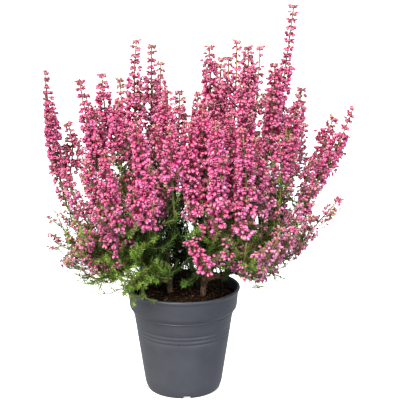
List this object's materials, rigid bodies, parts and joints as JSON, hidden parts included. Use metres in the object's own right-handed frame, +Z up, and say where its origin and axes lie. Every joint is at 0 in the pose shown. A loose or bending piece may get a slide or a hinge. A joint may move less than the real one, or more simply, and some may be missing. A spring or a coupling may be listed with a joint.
{
  "type": "potted cape heath",
  "caption": "Evergreen heath shrub in flower: upright spikes of small pink bells on needle-leaved stems, rooted in the soil of a round grey nursery pot.",
  "frame": {"origin": "centre of the pot's underside, on the surface that it stands on", "axes": "+Z up; -Y is the front that the picture shows, +X to its right"},
  "size_m": [0.3172, 0.2619, 0.405],
  "materials": {
    "pot": "satin moulded plastic",
    "soil": "loose dark peat",
    "bark": "matt bark",
    "leaves": "satin needle leaves",
    "flowers": "thin waxy petals"
  },
  "bodies": {
    "root": {"pot": "pot", "soil": "soil", "woody_stem_left": "bark", "woody_stem_right": "bark", "leafy_stems_far_left": "leaves", "leafy_stems_front_left": "leaves", "leafy_stems_back_left": "leaves", "leafy_stems_upper_left": "leaves", "leafy_stems_back": "leaves", "leafy_stems_front_right": "leaves", "leafy_stems_upper_right": "leaves", "leafy_stems_far_right": "leaves", "leafy_stems_right_front": "leaves", "leafy_stems_back_right": "leaves", "flower_spike_01": "flowers", "flower_spike_02": "flowers", "flower_spike_03": "flowers", "flower_spike_04": "flowers", "flower_spike_05": "flowers", "flower_spike_06": "flowers", "flower_spike_07": "flowers", "flower_spike_08": "flowers", "flower_spike_09": "flowers", "flower_spike_10": "flowers", "flower_spike_11": "flowers", "flower_spike_12": "flowers", "flower_spike_13": "flowers", "flower_spike_14": "flowers", "flower_spike_15": "flowers", "flower_spike_16": "flowers", "flower_spike_17": "flowers", "flower_spike_18": "flowers", "flower_spike_19": "flowers", "flower_spike_20": "flowers", "flower_spike_21": "flowers", "flower_spike_22": "flowers", "flower_spike_23": "flowers", "flower_spike_24": "flowers", "flower_spike_25": "flowers", "flower_spike_26": "flowers", "flower_spike_27": "flowers", "flower_spike_28": "flowers", "flower_spike_29": "flowers", "flower_spike_30": "flowers", "flower_spike_31": "flowers", "flower_spike_32": "flowers", "flower_spike_33": "flowers", "flower_spike_34": "flowers", "flower_spike_35": "flowers", "flower_spike_36": "flowers", "flower_spike_37": "flowers", "flower_spike_38": "flowers", "flower_spike_39": "flowers", "flower_spike_40": "flowers", "flower_spike_41": "flowers", "flower_spike_42": "flowers", "flower_spike_43": "flowers", "flower_spike_44": "flowers", "flower_spike_45": "flowers", "flower_spike_46": "flowers"}
  },
  "joints": []
}
